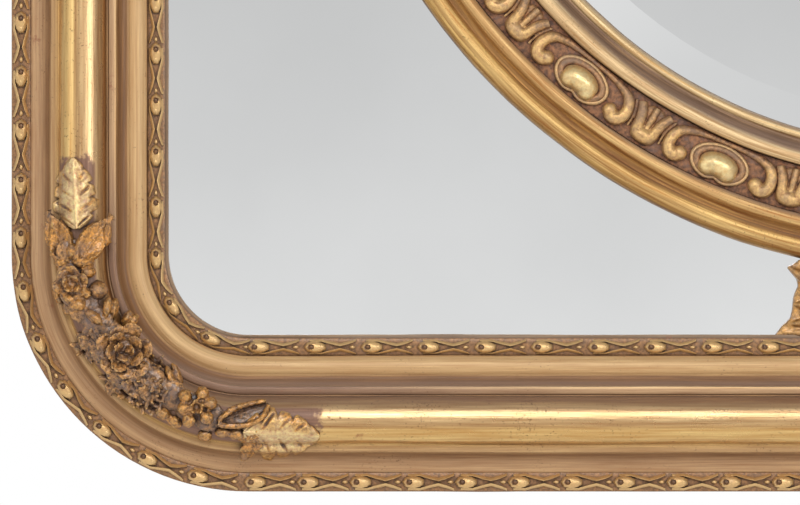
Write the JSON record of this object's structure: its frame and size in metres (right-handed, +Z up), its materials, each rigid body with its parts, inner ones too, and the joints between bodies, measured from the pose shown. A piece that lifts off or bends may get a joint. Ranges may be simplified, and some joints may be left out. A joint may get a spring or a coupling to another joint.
{
  "type": "baroque mirror",
  "caption": "Gilded wall mirror: rounded rectangular frame with corner garlands, mirror panes and an inner oval moulding around bevelled glass, hung on keyholes.",
  "frame": {"origin": "midway between the two keyholes, on the plane of the wall", "axes": "+X to the viewer's right, +Y out of the back towards the wall, +Z up; the glass faces -Y"},
  "size_m": [0.8, 0.049, 0.9999],
  "materials": {
    "gilded_wood": "gilded over red bole, rubbed and toned",
    "gilded_compo": "cast ornament, gilded and toned brown in the recesses",
    "mirror_glass": "silvered glass",
    "hardboard": "smooth brown hardboard",
    "dowel_wood": "plain beech",
    "brassed_steel": "brass-plated pressed steel",
    "zinc_steel": "zinc-plated steel"
  },
  "bodies": {
    "frame": {"back_panel": "hardboard", "back_panel_screws": "zinc_steel", "bridge_ornament_bottom": "gilded_compo", "bridge_ornament_left": "gilded_compo", "bridge_ornament_right": "gilded_compo", "bridge_ornament_top": "gilded_compo", "corner_bottom_left": "gilded_wood", "corner_bottom_right": "gilded_wood", "corner_garland_bottom_left": "gilded_compo", "corner_garland_bottom_right": "gilded_compo", "corner_garland_top_left": "gilded_compo", "corner_garland_top_right": "gilded_compo", "corner_top_left": "gilded_wood", "corner_top_right": "gilded_wood", "edge_beading_bottom": "gilded_compo", "edge_beading_left": "gilded_compo", "edge_beading_right": "gilded_compo", "edge_beading_top": "gilded_compo", "frame_dowels": "dowel_wood", "hanger_plate_left": "zinc_steel", "hanger_plate_right": "zinc_steel", "hanger_screws": "zinc_steel", "mirror_pane_bottom_left": "mirror_glass", "mirror_pane_bottom_right": "mirror_glass", "mirror_pane_top_left": "mirror_glass", "mirror_pane_top_right": "mirror_glass", "oval_arc_bottom": "gilded_wood", "oval_arc_left": "gilded_wood", "oval_arc_right": "gilded_wood", "oval_arc_top": "gilded_wood", "oval_backboard": "hardboard", "oval_dowels": "dowel_wood", "oval_mirror": "mirror_glass", "oval_ornament_bottom": "gilded_compo", "oval_ornament_left": "gilded_compo", "oval_ornament_right": "gilded_compo", "oval_ornament_top": "gilded_compo", "oval_screws": "zinc_steel", "rail_bottom": "gilded_wood", "rail_left": "gilded_wood", "rail_right": "gilded_wood", "rail_top": "gilded_wood", "sight_beading_bottom": "gilded_compo", "sight_beading_left": "gilded_compo", "sight_beading_right": "gilded_compo", "sight_beading_top": "gilded_compo", "turn_button_screws": "zinc_steel"},
    "button_1": {"turn_button_1": "brassed_steel"},
    "button_2": {"turn_button_2": "brassed_steel"},
    "button_3": {"turn_button_3": "brassed_steel"},
    "button_4": {"turn_button_4": "brassed_steel"},
    "button_5": {"turn_button_5": "brassed_steel"},
    "button_6": {"turn_button_6": "brassed_steel"},
    "button_7": {"turn_button_7": "brassed_steel"},
    "button_8": {"turn_button_8": "brassed_steel"}
  },
  "joints": [
    {"name": "button_1_turn", "type": "hinge", "parent": "frame", "child": "button_1", "pos_m": [-0.13392, -0.0028, -0.80553], "axis": [0, 1, 0], "continuous": true},
    {"name": "button_2_turn", "type": "hinge", "parent": "frame", "child": "button_2", "pos_m": [0.13392, -0.0028, -0.80553], "axis": [0, 1, 0], "continuous": true},
    {"name": "button_3_turn", "type": "hinge", "parent": "frame", "child": "button_3", "pos_m": [-0.13392, -0.0028, -0.14697], "axis": [0, 1, 0], "continuous": true},
    {"name": "button_4_turn", "type": "hinge", "parent": "frame", "child": "button_4", "pos_m": [0.13392, -0.0028, -0.14697], "axis": [0, 1, 0], "continuous": true},
    {"name": "button_5_turn", "type": "hinge", "parent": "frame", "child": "button_5", "pos_m": [-0.26226, -0.0028, -0.57141], "axis": [0, 1, 0], "continuous": true},
    {"name": "button_6_turn", "type": "hinge", "parent": "frame", "child": "button_6", "pos_m": [-0.26226, -0.0028, -0.38109], "axis": [0, 1, 0], "continuous": true},
    {"name": "button_7_turn", "type": "hinge", "parent": "frame", "child": "button_7", "pos_m": [0.26226, -0.0028, -0.57141], "axis": [0, 1, 0], "continuous": true},
    {"name": "button_8_turn", "type": "hinge", "parent": "frame", "child": "button_8", "pos_m": [0.26226, -0.0028, -0.38109], "axis": [0, 1, 0], "continuous": true}
  ]
}
